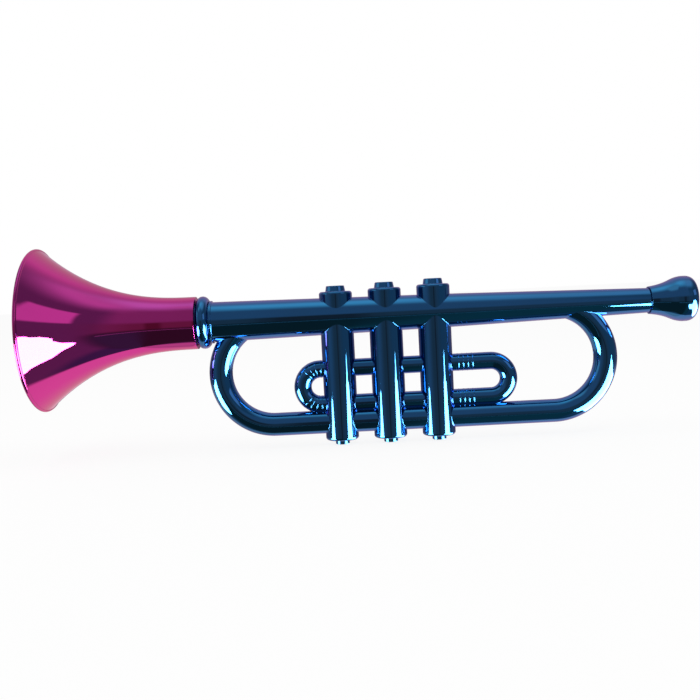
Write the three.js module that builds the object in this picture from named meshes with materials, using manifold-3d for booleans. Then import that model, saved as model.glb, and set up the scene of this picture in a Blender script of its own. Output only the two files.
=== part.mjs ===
// A toy trumpet of metallised plastic in playing position: millimetres, +Z up, +X to the player.
// Places along the pipe are counted from the middle valve's axis and heights from the pipe's axis.
// The whole toy is set on its feet, centred over the origin, at the end of the file.

import * as THREE from 'three';
import { mergeVertices } from 'three/addons/utils/BufferGeometryUtils.js';
import Module from 'manifold-3d';

const wasm = await Module();
wasm.setup();

// Walls and fits
const shellWall = 1.5; // wall of the two moulded body halves
const bellWall = 1.5; // wall of the bell's flare
const clearance = 0.3; // free space between pieces that push together
const partingGap = 0.1; // glue line between the body halves
const cutOverrun = 1; // how far a cutting shape runs past what it cuts

// Main pipe: a slow cone from the bell to the knee, then a faster one to the mouthpiece
const pipeBellRadius = 10.05;
const pipeKneeRadius = 8.3;
const pipeMouthRadius = 6.15;
const pipeBellReach = 85.9;
const pipeKneeReach = 36;
const pipeMouthReach = 131.2;

// Bell end: a stop bead on the pipe, the collar ring against it, and a spigot inside the bell
const stopBeadWidth = 1.3;
const stopBeadHeight = 0.6;
const stopBeadEdge = 0.35;
const collarWidth = 6;
const collarHeight = 2.75; // from the ring's bore to its crown
const spigotLength = 11;

// Bell
const bellLength = 78.2;
const bellNeckWall = 2.75; // the neck's sleeve is thicker than the flare
const bellRimRadius = 40.65;
const rimLipWidth = 1.8; // thickness of the rolled rim along the axis
const rimLipHeight = 1; // how far the rolled rim stands out of the flare
const rimLipEdge = 0.45;
// distance from the neck as a share of the length, growth of the radius as a share of the whole
const bellFlareShares = [
  [0, 0], [0.11, 0.002], [0.2, 0.013], [0.28, 0.034], [0.36, 0.068], [0.44, 0.117], [0.52, 0.183],
  [0.6, 0.266], [0.68, 0.369], [0.76, 0.492], [0.84, 0.636], [0.92, 0.805],
];

// Valves: three fixed columns across the pipe, each with a button on top and a cap below
const valveCount = 3;
const valvePitch = 24.35;
const valveRadius = 8.25;
const valveDrop = 62; // pipe axis to the column's flat bottom
const valveRise = 12.95; // pipe axis to the middle column's flat top
const valveStep = 0.65; // how much higher each column stands than its neighbour to the left
const valveEdge = 1.3;
const buttonRadius = 5;
const buttonTopRadius = 4.5;
const buttonHeight = 2.8;
const buttonEdge = 0.55;
const capRadius = 3.5;
const capHeight = 2.3;
const capEdge = 0.4;

// Large loop of tube, which leaves the pipe at both ends and runs below the slide
const loopTubeRadius = 5.8;
const loopAboveFoot = 9.1; // lower run's axis above the columns' flat bottom
const loopBellInset = 2.35; // the bend turns back this far from the pipe's bell end
const loopMouthInset = 22.15; // and this far from its mouthpiece end

// Small loop, the slide, with rings for the fingers beside the outer columns
const slideTubeRadius = 4.35;
const slideSink = 1.15; // how deep its lower run sits in the large loop
const slideBendRadius = 8.9;
const slideBellOverhang = 9.65; // outer column's axis to the bend's centre
const slideMouthOverhang = 27;
const slideJoinGap = 2; // its ends stop this far apart inside the middle column
const ringCount = 4;
const ringPitch = 2.35;
const ringWidth = 1.3;
const ringHeight = 0.3;
const ringBellStart = 0.9; // column's flank to the first ring
const ringMouthStart = 2.5;

// Locating pegs that join the body halves inside the columns
const bossRadius = 2.6;
const pegRadius = 1.2;
const pegReach = 3;
const upperPegShare = 0.58; // of the way from the pipe's axis down to the slide's upper run

// Mouthpiece and the tenon that it sits on
const tenonLength = 9.5;
const tenonStep = 0.75; // how much the tenon is thinner than the pipe
const sleeveWall = 1.15;
const bulbRadius = 11.3;
const chamberRadius = 3.2;
const chamberLength = 2.5;
const throatRadius = 2;
const throatLength = 3;
const cupDepth = 7.5;
const cupRadius = 6.9;
// distance from the sleeve as a share of the length, growth of the radius as a share of the whole
const mouthpieceShares = [
  [0, 0], [0.19, 0.17], [0.28, 0.285], [0.36, 0.42], [0.45, 0.61], [0.54, 0.805], [0.63, 0.933],
  [0.72, 1], [0.81, 1], [0.9, 0.888], [0.964, 0.618], [1, 0.236],
];

// Reed: a block pushed into the pipe's mouth, a trough that the tongue closes, and a clamp ring
const tenonWall = 1.2; // between the reed's seat and the tenon's outside
const reedSeatLength = 22;
const reedWebThickness = 2.2;
const reedWebHoleRadius = 3.2;
const reedBlockLength = 8;
const clampPlay = 0.5; // air between the clamp and the seat
const clampWall = 1;
const clampLength = 3;
const troughLength = 13.2;
const troughWall = 1;
const tongueThickness = 0.35;
const tongueWidth = 3.8;
const tongueSetback = 0.6; // the trough reaches this far past the tongue's free end

// How finely round shapes are divided
const pipeSides = 24;
const boreSides = 12;
const valveSides = 20;
const cavitySides = 8;
const loopSides = 16;
const loopBendSteps = 14;
const slideSides = 12;
const slideBendSteps = 10;
const tubeCavitySides = 6;
const bellSides = 28;
const mouthpieceSides = 20;
const smallSides = 8;
const arcSteps = 6;

// Radii that follow from the fits
const bellSocketRadius = pipeBellRadius + clearance;
const bellNeckRadius = bellSocketRadius + bellNeckWall;
const tenonRadius = pipeMouthRadius - tenonStep;
const mouthpieceSocketRadius = tenonRadius + clearance;
const sleeveRadius = mouthpieceSocketRadius + sleeveWall;
const reedSeatRadius = tenonRadius - tenonWall;
const clampRadius = reedSeatRadius - clampPlay;
const troughRadius = clampRadius - clampWall - clearance;
const channelRadius = troughRadius - troughWall;

// Stations along the pipe, from the bell's rim to the mouthpiece's end
const pipeBellX = -pipeBellReach;
const stopBeadX = pipeBellX - stopBeadWidth;
const collarX = stopBeadX - clearance - collarWidth;
const bellNeckX = collarX - clearance;
const spigotEndX = bellNeckX - spigotLength;
const bellRimX = bellNeckX - bellLength;
const pipeMouthX = pipeMouthReach;
const tenonEndX = pipeMouthX + tenonLength;
const mouthpieceX = pipeMouthX + clearance;
const mouthpieceLength = tenonLength + chamberLength + throatLength + cupDepth;
const mouthpieceEndX = mouthpieceX + mouthpieceLength;
const reedSeatX = tenonEndX - reedSeatLength;
const reedBlockX = reedSeatX + clearance;
const troughX = reedBlockX + reedBlockLength;
const tongueX = troughX + clearance;
const tongueLength = troughLength - clearance - tongueSetback;

// Places of the valves and loops
const outerValveX = valvePitch * (valveCount - 1) / 2;
const valves = Array.from({ length: valveCount }, (_, index) => {
  const place = index - (valveCount - 1) / 2;
  return { x: place * valvePitch, top: valveRise + place * valveStep };
});
const loopDrop = valveDrop - loopAboveFoot;
const loopBendRadius = loopDrop / 2;
const loopBellX = pipeBellX + loopBellInset + loopBendRadius;
const loopMouthX = pipeMouthX - loopMouthInset - loopBendRadius;
const slideLowerZ = loopTubeRadius + slideTubeRadius - slideSink - loopDrop;
const slideUpperZ = slideLowerZ + 2 * slideBendRadius;
const slideMiddleZ = (slideLowerZ + slideUpperZ) / 2;
const slideBellX = -outerValveX - slideBellOverhang;
const slideMouthX = outerValveX + slideMouthOverhang;

// A path of straights and bends in the plane of the loops. A tube drawn along it takes one step for
// each straight and several for each bend.
class TubePath extends THREE.Curve {
  constructor(pieces) {
    super();
    this.pieces = pieces;
    this.steps = pieces.reduce((sum, piece) => sum + piece.steps, 0);
  }

  locate(t) {
    let rest = t * this.steps;
    let index = 0;
    while (rest > this.pieces[index].steps && index < this.pieces.length - 1) {
      rest -= this.pieces[index].steps;
      index += 1;
    }
    const piece = this.pieces[index];
    return { curve: piece.curve, share: Math.min(rest / piece.steps, 1) };
  }

  getPoint(t) {
    const { curve, share } = this.locate(t);
    const flat = curve.getPoint(share);
    return new THREE.Vector3(flat.x, 0, flat.y);
  }

  getTangent(t) {
    const { curve, share } = this.locate(t);
    const flat = curve.getTangent(share);
    return new THREE.Vector3(flat.x, 0, flat.y);
  }

  getUtoTmapping(u) {
    return u;
  }
}

// Straights and bends are drawn in the plane of the loops: x along the pipe, y upwards.
function straight(fromX, toX, z) {
  return { curve: new THREE.LineCurve(new THREE.Vector2(fromX, z), new THREE.Vector2(toX, z)), steps: 1 };
}

function bend(x, z, radius, fromAngle, toAngle, clockwise, steps) {
  const curve = new THREE.EllipseCurve(x, z, radius, radius, fromAngle, toAngle, clockwise);
  return { curve, steps };
}

function toSolid(geometry) {
  const bare = geometry.clone();
  bare.deleteAttribute('normal');
  bare.deleteAttribute('uv');
  const merged = mergeVertices(bare);
  const mesh = new wasm.Mesh({
    numProp: 3,
    vertProperties: Float32Array.from(merged.attributes.position.array),
    triVerts: Uint32Array.from(merged.index.array),
  });
  return new wasm.Manifold(mesh);
}

function toGeometry(solid) {
  const mesh = solid.getMesh();
  const geometry = new THREE.BufferGeometry();
  geometry.setAttribute('position', new THREE.BufferAttribute(mesh.vertProperties, 3));
  geometry.setIndex(new THREE.BufferAttribute(mesh.triVerts, 1));
  geometry.computeVertexNormals();
  return geometry;
}

function joined(solids) {
  return solids.reduce((sum, solid) => sum.add(solid));
}

// A profile of [along, radius] points turned about its own Y axis.
function turned(profile, sides) {
  return new THREE.LatheGeometry(profile.map(([along, radius]) => new THREE.Vector2(radius, along)), sides);
}

// The same, with the profile's length laid along +X.
function turnedAlongX(profile, sides) {
  return turned(profile, sides).rotateZ(-Math.PI / 2);
}

// The same, with the profile's length stood along +Z.
function turnedAlongZ(profile, sides) {
  return turned(profile, sides).rotateX(Math.PI / 2);
}

function circle(radius, sides) {
  const points = new THREE.EllipseCurve(0, 0, radius, radius).getPoints(sides);
  return new THREE.Shape(points.slice(0, -1));
}

function tube(path, radius, sides) {
  return toSolid(new THREE.ExtrudeGeometry(circle(radius, sides), {
    steps: path.steps,
    extrudePath: path,
    bevelEnabled: false,
  }));
}

function pipeRadiusAt(x) {
  if (x < pipeKneeReach) {
    return THREE.MathUtils.mapLinear(x, pipeBellX, pipeKneeReach, pipeBellRadius, pipeKneeRadius);
  }
  return THREE.MathUtils.mapLinear(x, pipeKneeReach, pipeMouthX, pipeKneeRadius, pipeMouthRadius);
}

// Pipe with its spigot, stop bead and tenon, solid
function pipeOuter() {
  return toSolid(turnedAlongX([
    [spigotEndX, 0],
    [spigotEndX, pipeBellRadius],
    [stopBeadX, pipeBellRadius],
    [stopBeadX + stopBeadEdge, pipeBellRadius + stopBeadHeight],
    [pipeBellX - stopBeadEdge, pipeBellRadius + stopBeadHeight],
    [pipeBellX, pipeBellRadius],
    [pipeKneeReach, pipeKneeRadius],
    [pipeMouthX, pipeMouthRadius],
    [pipeMouthX, tenonRadius],
    [tenonEndX, tenonRadius],
    [tenonEndX, 0],
  ], pipeSides));
}

// Air space of the pipe: the cone, the hole in the web behind the reed, and the reed's seat
function pipeBore() {
  const webX = reedSeatX - reedWebThickness;
  return toSolid(turnedAlongX([
    [spigotEndX - cutOverrun, 0],
    [spigotEndX - cutOverrun, pipeBellRadius - shellWall],
    [pipeBellX, pipeBellRadius - shellWall],
    [pipeKneeReach, pipeKneeRadius - shellWall],
    [webX, pipeRadiusAt(webX) - shellWall],
    [webX, reedWebHoleRadius],
    [reedSeatX, reedWebHoleRadius],
    [reedSeatX, reedSeatRadius],
    [tenonEndX + cutOverrun, reedSeatRadius],
    [tenonEndX + cutOverrun, 0],
  ], boreSides));
}

function valveOuter(valve) {
  const buttonTop = valve.top + buttonHeight;
  const column = turnedAlongZ([
    [-valveDrop - capHeight, 0],
    [-valveDrop - capHeight, capRadius - capEdge],
    [-valveDrop - capHeight + capEdge, capRadius],
    [-valveDrop, capRadius],
    [-valveDrop, valveRadius - valveEdge],
    [-valveDrop + valveEdge, valveRadius],
    [valve.top - valveEdge, valveRadius],
    [valve.top, valveRadius - valveEdge],
    [valve.top, buttonRadius],
    [buttonTop - buttonEdge, buttonTopRadius],
    [buttonTop, buttonTopRadius - buttonEdge],
    [buttonTop, 0],
  ], valveSides);
  return toSolid(column.translate(valve.x, 0, 0));
}

function valveCavity(valve) {
  const cavity = turnedAlongZ([
    [-valveDrop + shellWall, 0],
    [-valveDrop + shellWall, valveRadius - shellWall],
    [valve.top - shellWall, valveRadius - shellWall],
    [valve.top - shellWall, buttonRadius - shellWall],
    [valve.top + buttonHeight - shellWall, buttonTopRadius - shellWall],
    [valve.top + buttonHeight - shellWall, 0],
  ], cavitySides);
  return toSolid(cavity.translate(valve.x, 0, 0));
}

const loopPath = new TubePath([
  bend(loopBellX, -loopBendRadius, loopBendRadius, Math.PI / 2, 3 * Math.PI / 2, false, loopBendSteps),
  straight(loopBellX, loopMouthX, -loopDrop),
  bend(loopMouthX, -loopBendRadius, loopBendRadius, -Math.PI / 2, Math.PI / 2, false, loopBendSteps),
]);

const slidePath = new TubePath([
  straight(-slideJoinGap / 2, slideBellX, slideUpperZ),
  bend(slideBellX, slideMiddleZ, slideBendRadius, Math.PI / 2, 3 * Math.PI / 2, false, slideBendSteps),
  straight(slideBellX, slideMouthX, slideLowerZ),
  bend(slideMouthX, slideMiddleZ, slideBendRadius, -Math.PI / 2, Math.PI / 2, false, slideBendSteps),
  straight(slideMouthX, slideJoinGap / 2, slideUpperZ),
]);

// Finger rings on both runs of the slide: side is -1 towards the bell and 1 towards the player
function slideRings(side) {
  const bendX = side < 0 ? slideBellX : slideMouthX;
  const flankX = side * (outerValveX + valveRadius);
  const runLength = Math.abs(bendX - flankX);
  const start = side < 0 ? ringBellStart : ringMouthStart;
  const profile = [
    [-ringWidth / 2, 0],
    [-ringWidth / 2, slideTubeRadius],
    [0, slideTubeRadius + ringHeight],
    [ringWidth / 2, slideTubeRadius],
    [ringWidth / 2, 0],
  ];
  const rings = [];
  for (const level of [-1, 1]) {
    for (let index = 0; index < ringCount; index += 1) {
      const distance = start + index * ringPitch;
      const angle = Math.max(distance - runLength, 0) / slideBendRadius;
      const x = flankX + side * (Math.min(distance, runLength) + slideBendRadius * Math.sin(angle));
      const z = slideMiddleZ + level * slideBendRadius * Math.cos(angle);
      const ring = turnedAlongX(profile, slideSides);
      ring.rotateY(side * level * angle);
      ring.translate(x, 0, z);
      rings.push(toSolid(ring));
    }
  }
  return rings;
}

// Round bar across the body from one depth to another, at a peg's place
function crossBar(place, radius, fromY, toY) {
  const bar = new THREE.CylinderGeometry(radius, radius, toY - fromY, smallSides);
  return toSolid(bar.translate(place.x, (fromY + toY) / 2, place.z));
}

const pegPlaces = valves.flatMap((valve) => [
  { x: valve.x, z: slideUpperZ * upperPegShare },
  { x: valve.x, z: slideMiddleZ },
]);

// Everything on one side of the parting plane: side is -1 in front and 1 behind
function halfSpace(side) {
  const width = mouthpieceEndX - bellRimX;
  const depth = 2 * bellRimRadius;
  const height = 2 * (valveDrop + capHeight + cutOverrun);
  const box = new THREE.BoxGeometry(width, depth, height);
  return toSolid(box.translate((mouthpieceEndX + bellRimX) / 2, side * (depth + partingGap) / 2, 0));
}

function bodyShell() {
  const outer = joined([
    pipeOuter(),
    ...valves.map(valveOuter),
    tube(loopPath, loopTubeRadius, loopSides),
    tube(slidePath, slideTubeRadius, slideSides),
    ...slideRings(-1),
    ...slideRings(1),
  ]);
  const air = joined([
    pipeBore(),
    ...valves.map(valveCavity),
    tube(loopPath, loopTubeRadius - shellWall, tubeCavitySides),
    tube(slidePath, slideTubeRadius - shellWall, tubeCavitySides),
  ]);
  const bossDepth = valveRadius - shellWall / 2;
  const bosses = pegPlaces.map((place) => crossBar(place, bossRadius, -bossDepth, bossDepth));
  return outer.subtract(air).add(joined(bosses));
}

const shell = bodyShell();

function bodyFront() {
  const pegs = pegPlaces.map((place) => crossBar(place, pegRadius, -pegReach, pegReach));
  return toGeometry(shell.intersect(halfSpace(-1)).add(joined(pegs)));
}

function bodyRear() {
  const depth = pegReach + clearance;
  const sockets = pegPlaces.map((place) => crossBar(place, pegRadius + clearance, -depth, depth));
  return toGeometry(shell.intersect(halfSpace(1)).subtract(joined(sockets)));
}

// Ring with a flat bore and a round crown
function collarRing() {
  const halfWidth = collarWidth / 2;
  const middle = collarX + halfWidth;
  const crown = new THREE.EllipseCurve(middle, bellSocketRadius, halfWidth, collarHeight, Math.PI, 0, true);
  const profile = crown.getPoints(2 * arcSteps).map((point) => [point.x, point.y]);
  profile.push(profile[0]);
  return turnedAlongX(profile, bellSides);
}

// The flare's outside as [along, radius], from the neck to just behind the rolled rim
function flareOutside() {
  const growth = bellRimRadius - rimLipHeight - bellNeckRadius;
  const points = bellFlareShares.map(([along, grown]) => [
    bellNeckX - along * (bellLength - rimLipWidth),
    bellNeckRadius + grown * growth,
  ]);
  points.push([bellRimX + rimLipWidth, bellNeckRadius + growth]);
  return points;
}

// Moves each point of a line of [along, radius] points inwards by the wall, square to the line.
function inset(points, wall) {
  return points.map(([along, radius], index) => {
    const [beforeAlong, beforeRadius] = points[Math.max(index - 1, 0)];
    const [afterAlong, afterRadius] = points[Math.min(index + 1, points.length - 1)];
    const run = new THREE.Vector2(afterAlong - beforeAlong, afterRadius - beforeRadius).normalize();
    return [along - Math.abs(run.y) * wall, radius - Math.abs(run.x) * wall];
  });
}

// Bell: the neck's thick sleeve grips the spigot, the flare ends in a rolled rim with a flat front
function bell() {
  const outside = flareOutside();
  const socketEndX = spigotEndX - clearance;
  const inside = inset(outside, bellWall).filter(([along]) => along < socketEndX - bellWall);
  const lipInner = inside.at(-1)[1];
  const profile = [
    ...outside,
    [bellRimX + rimLipWidth - rimLipEdge, bellRimRadius - rimLipEdge],
    [bellRimX + rimLipWidth / 2, bellRimRadius],
    [bellRimX + rimLipEdge, bellRimRadius - rimLipEdge / 4],
    [bellRimX, bellRimRadius - rimLipEdge],
    [bellRimX, lipInner + rimLipEdge],
    ...inside.reverse(),
    [socketEndX, bellNeckRadius - bellWall],
    [socketEndX, bellSocketRadius],
    [bellNeckX, bellSocketRadius],
    outside[0],
  ];
  return turnedAlongX(profile.reverse(), bellSides);
}

// Mouthpiece: a sleeve over the tenon that swells to a bulb with a cup for the lips
function mouthpiece() {
  const outside = mouthpieceShares.map(([along, grown]) => [
    mouthpieceX + along * mouthpieceLength,
    sleeveRadius + grown * (bulbRadius - sleeveRadius),
  ]);
  const socketEndX = tenonEndX + clearance;
  const bowl = new THREE.EllipseCurve(
    mouthpieceEndX, throatRadius, cupDepth, cupRadius - throatRadius, Math.PI / 2, Math.PI, false);
  const profile = [
    ...outside,
    ...bowl.getPoints(arcSteps).map((point) => [point.x, point.y]),
    [socketEndX + chamberLength, throatRadius],
    [socketEndX + chamberLength, chamberRadius],
    [socketEndX, chamberRadius],
    [socketEndX, mouthpieceSocketRadius],
    [mouthpieceX, mouthpieceSocketRadius],
    outside[0],
  ];
  return turnedAlongX(profile, mouthpieceSides);
}

// Lower half of a round bar along X, flat on top at the pipe's axis
function halfBar(fromX, toX, radius) {
  const length = toX - fromX;
  const middle = (fromX + toX) / 2;
  const depth = radius + cutOverrun;
  const bar = new THREE.CylinderGeometry(radius, radius, length, smallSides).rotateZ(-Math.PI / 2);
  const box = new THREE.BoxGeometry(length + 2 * cutOverrun, 2 * depth, depth);
  const lower = toSolid(box.translate(middle, 0, -depth / 2));
  return toSolid(bar.translate(middle, 0, 0)).intersect(lower);
}

// Block with its trough: air passes under the tongue, along the trough and through the block
function reedBlock() {
  const plugRadius = reedSeatRadius - clearance;
  const troughEndX = troughX + troughLength;
  const plug = new THREE.CylinderGeometry(plugRadius, plugRadius, reedBlockLength, boreSides);
  plug.rotateZ(-Math.PI / 2).translate(reedBlockX + reedBlockLength / 2, 0, 0);
  const trough = halfBar(reedBlockX + reedBlockLength / 2, troughEndX, troughRadius);
  const channel = halfBar(reedBlockX - cutOverrun, troughEndX - troughWall, channelRadius);
  return toGeometry(toSolid(plug).add(trough).subtract(channel));
}

// Thin tongue with a round free end, lying over the trough's flat
function reedTongue() {
  const half = tongueWidth / 2;
  const outline = new THREE.Shape();
  outline.moveTo(0, -half);
  outline.absellipse(tongueLength - half, 0, half, half, -Math.PI / 2, Math.PI / 2, false);
  outline.lineTo(0, half);
  return new THREE.ExtrudeGeometry(outline, {
    depth: tongueThickness,
    bevelEnabled: false,
    curveSegments: arcSteps,
  });
}

// Ring that presses the tongue's root on the trough with the flat side of its bore
function reedClamp() {
  const bore = troughRadius + clearance;
  const flat = tongueThickness + 2 * clearance;
  const angle = Math.asin(flat / bore);
  const outline = circle(clampRadius, boreSides);
  const hole = new THREE.Path();
  hole.absarc(0, 0, bore, angle, Math.PI - angle, true);
  hole.closePath();
  outline.holes.push(hole);
  return new THREE.ExtrudeGeometry(outline, {
    depth: clampLength,
    bevelEnabled: false,
    curveSegments: boreSides,
  });
}

const blueMetal = { color: 0x0b5b9c, metalness: 1, roughness: 0.12 };
const magentaMetal = { color: 0xc02588, metalness: 1, roughness: 0.12 };
const ivoryPlastic = { color: 0xe6dfcc, metalness: 0, roughness: 0.45 };
const amberFilm = { color: 0xd9b56a, metalness: 0, roughness: 0.3 };

function piece(name, geometry, finish) {
  const mesh = new THREE.Mesh(geometry, new THREE.MeshStandardMaterial(finish));
  mesh.name = name;
  return mesh;
}

const body = new THREE.Group();
body.add(
  piece('body_front_shell', bodyFront(), blueMetal),
  piece('body_rear_shell', bodyRear(), blueMetal),
  piece('collar_ring', collarRing(), blueMetal),
);

// The tongue and the clamp are drawn flat and put in place behind the block
const tongue = piece('reed_tongue', reedTongue(), amberFilm);
tongue.position.set(tongueX, 0, clearance);
const clamp = piece('reed_clamp', reedClamp(), ivoryPlastic);
clamp.rotation.set(Math.PI / 2, Math.PI / 2, 0);
clamp.position.set(tongueX, 0, 0);

const voice = new THREE.Group();
voice.add(piece('reed_block', reedBlock(), ivoryPlastic), tongue, clamp);

const trumpet = new THREE.Group();
trumpet.add(
  body,
  voice,
  piece('bell', bell(), magentaMetal),
  piece('mouthpiece', mouthpiece(), blueMetal),
);
trumpet.position.set(-(bellRimX + mouthpieceEndX) / 2, 0, valveDrop + capHeight);

export default trumpet;
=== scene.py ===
"""Dresses the frame of a toy trumpet in its metallised plastic and sets up its studio.

Every length is in metres once it leaves a property group or a table. The toy lies along X with its
bell at the low end, stands on the caps of its valves at Z = 0, and is split at Y = 0 where its two
moulded halves meet.
"""

from math import acos, atan2, cos, dist, pi, radians, sin, tan, tau

import bmesh
import bpy
import numpy as np
from bpy.props import FloatProperty, FloatVectorProperty, IntProperty, PointerProperty
from bpy.types import Operator, Panel, PropertyGroup
from mathutils import Matrix, Vector


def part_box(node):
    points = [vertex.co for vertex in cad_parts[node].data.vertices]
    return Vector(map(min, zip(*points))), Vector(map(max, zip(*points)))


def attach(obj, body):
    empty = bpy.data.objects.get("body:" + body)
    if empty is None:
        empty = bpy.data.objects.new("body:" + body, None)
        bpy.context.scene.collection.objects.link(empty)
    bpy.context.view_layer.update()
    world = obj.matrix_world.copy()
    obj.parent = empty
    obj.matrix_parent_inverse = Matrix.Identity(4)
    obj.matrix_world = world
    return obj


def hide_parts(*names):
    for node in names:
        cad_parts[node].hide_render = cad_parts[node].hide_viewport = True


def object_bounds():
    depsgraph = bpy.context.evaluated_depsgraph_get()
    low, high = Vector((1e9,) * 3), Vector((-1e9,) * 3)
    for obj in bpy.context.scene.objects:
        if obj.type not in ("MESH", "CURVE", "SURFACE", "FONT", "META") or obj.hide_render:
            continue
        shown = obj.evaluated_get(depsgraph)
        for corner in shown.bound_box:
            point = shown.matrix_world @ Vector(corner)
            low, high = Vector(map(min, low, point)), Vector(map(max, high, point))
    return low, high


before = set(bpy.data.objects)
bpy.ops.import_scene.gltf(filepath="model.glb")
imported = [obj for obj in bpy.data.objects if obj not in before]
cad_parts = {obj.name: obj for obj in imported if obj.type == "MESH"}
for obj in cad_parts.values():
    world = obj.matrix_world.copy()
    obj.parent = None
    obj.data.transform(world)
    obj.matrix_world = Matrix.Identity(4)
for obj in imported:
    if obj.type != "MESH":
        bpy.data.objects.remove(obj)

bl_info = {
    "name": "Toy Trumpet",
    "version": (1, 0, 0),
    "blender": (4, 5, 0),
    "location": "3D View > Sidebar > Trumpet",
    "description": "Fine shells, lacquered metal finishes and a studio for a toy trumpet",
    "category": "Object",
}

MM = 0.001
CAD_BOX = [list(corner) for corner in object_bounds()]

# Places that the frame gives
BELL_LOW, BELL_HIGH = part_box("bell")
COLLAR_LOW, COLLAR_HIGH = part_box("collar_ring")
MOUTHPIECE_LOW, MOUTHPIECE_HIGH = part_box("mouthpiece")
BODY_LOW, BODY_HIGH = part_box("body_front_shell")
PIPE_Z = (BELL_LOW.z + BELL_HIGH.z) / 2
BELL_RADIUS = (BELL_HIGH.z - BELL_LOW.z) / 2

# Directions, the last of which is parallel to no form's axis
ALONG_PIPE = (1, 0, 0)
ACROSS = (0, 1, 0)
UPWARDS = (0, 0, 1)
ASKEW = (0.3, 0.9, 0.2)

# How finely round shapes are divided
PIPE_SIDES = 128
COLUMN_SIDES = 96
LOOP_SIDES = 72
SLIDE_SIDES = 56
RING_SIDES = 56
BELL_SIDES = 192
MOUTHPIECE_SIDES = 128
INNER_SIDES = 48
BEND_STEPS = 72
ROUND_STEPS = 8
CURVE_STEPS = 8
FLARE_STEPS = 72
LIP_STEPS = 12
BEAD_STEPS = 40
BOWL_STEPS = 24
TINY = 1e-9

# A face belongs to a form that is this near its middle and whose normal is this much like its own
MATCH_TOLERANCE = 0.06 * MM
MATCH_AGREEMENT = 0.98

# The bell's radius grows by these shares of the second to fifth powers of the way from neck to rim
FLARE_GROWTH_SHARES = (0.0118, 1.8393, -1.3318, 0.4807)

# Bevel of the neck's end as a share of its edge, and rounding of a ring's crown as a share of its height
NECK_BEVEL_SHARE = 0.3
RING_CROWN_SHARE = 1.6

BLUE_FINISH = "blue_lacquered_metallised_plastic"

# Studio, in metres
FLOOR_REACH = 20
LAMP_SIZE = 1.2
LAMP_FORWARD = 0.3
LAMP_HEIGHT = 1.4
UMBRELLAS_FACE_HEIGHT = 25 * MM

# Plain white in the floor that the camera sees; the rest of it is lit paper with its shadow
FLOOR_WHITE_SHARE = 0.88

# The camera's sensor in millimetres, and half a turn in degrees
SENSOR_WIDTH = 36
HALF_TURN = 180.0

# Each umbrella's centre, how much larger it is drawn than its outline, and the outline across and up
# from there, in millimetres
UMBRELLAS = (
    ("umbrella_right", (503, -275, -297), 1.5, (
        (-222, -6), (-198, -36), (-130, -68), (-92, -94), (-62, -112), (30, -124), (57, -142), (110, -158),
        (165, -190), (250, -218), (360, -262), (400, -250), (430, -180), (445, -120), (430, -40), (398, 10),
        (372, 60), (320, 82), (265, 94), (200, 112), (150, 134), (100, 148), (70, 168), (32, 186), (16, 197),
        (-38, 199), (-52, 226), (-74, 218), (-90, 204), (-127, 194), (-154, 169), (-168, 143), (-160, 104),
        (-182, 48), (-212, 16),
    )),
    ("umbrella_left", (-685, -268, -304), 1.8, (
        (-37, 116), (0, 126), (36, 143), (84, 142), (128, 110), (160, 60), (168, 10), (154, -24), (118, -48),
        (78, -74), (0, -104), (-95, -90), (-136, -62), (-148, -26), (-144, 10), (-150, 45), (-136, 96),
        (-70, 108),
    )),
)

# What the metal shows of the room, each part laid over those before it. Azimuth runs in degrees from
# the camera towards the mouthpiece's side and elevation from the horizon up, then come the widths of
# the soft edges across and up, and the glow, where 1 is white.
ROOM_GLOW = (0.135, 0.14, 0.17)
ROOM_PARTS = (
    ("wall behind the camera", (-66, 24), (-24, 75), (16, 14), (0.245, 0.2, 0.245)),
    ("ceiling", (-180, 180), (70, 110), (1, 32), (0.66, 0.9, 0.9)),
    ("right ceiling", (25, 130), (55, 80), (50, 26), (0.62, 0.6, 0.66)),
    ("left ceiling", (-72, -32), (48, 75), (14, 16), (0.58, 0.58, 0.58)),
    ("paper above", (132, 236), (0, 70), (44, 40), (0.68, 0.5, 0.6)),
    ("paper below", (99, 200), (-91, -3), (9, 10), (0.92, 0.68, 0.74)),
    ("left paper", (200, 262), (-91, -10), (20, 8), (0.62, 0.56, 0.54)),
    ("gap in the papers", (97, 262), (-12, -1), (10, 7), (0.2, 0.16, 0.22)),
    ("right window", (41, 70), (12.5, 34), (4, 3), (0.68, 0.5, 0.66)),
    ("left window", (-104, -64), (2, 34), (10, 8), (0.62, 0.62, 0.64)),
    ("shade behind the camera", (-38, 26), (-26, 12), (44, 12), (0.16, 0.105, 0.105)),
    ("camera stand", (-4, 3), (-62, 10), (3, 6), (0.1, 0.05, 0.05)),
    ("right floor", (20, 94), (-91, -58), (10, 14), (0.055, 0.1, 0.13)),
    ("dark floor", (-70, 34), (-91, -14), (18, 10), (0.035, 0.043, 0.036)),
    ("floor under the umbrella", (6, 34), (-91, -18), (14, 12), (0.045, 0.1, 0.09)),
    ("table's edge", (-24, 30), (-20.6, -19.2), (2, 1.2), (0.3, 0.34, 0.36)),
)


def length(name, description, millimetres, lowest=0):
    """A property for a length of the toy."""
    return FloatProperty(
        name=name, description=description, default=millimetres * MM, min=lowest, unit="LENGTH", precision=5
    )


def linear(code):
    """The linear colour of an sRGB hex value such as #0B5B9C."""
    channels = [int(code[place:place + 2], 16) / 255 for place in (1, 3, 5)]
    return tuple(c / 12.92 if c <= 0.04045 else ((c + 0.055) / 1.055) ** 2.4 for c in channels)


def colour(name, description, code):
    """A property for the colour of a finish."""
    return FloatVectorProperty(
        name=name, description=description, default=linear(code), subtype="COLOR", size=3, min=0, max=1
    )


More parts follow.
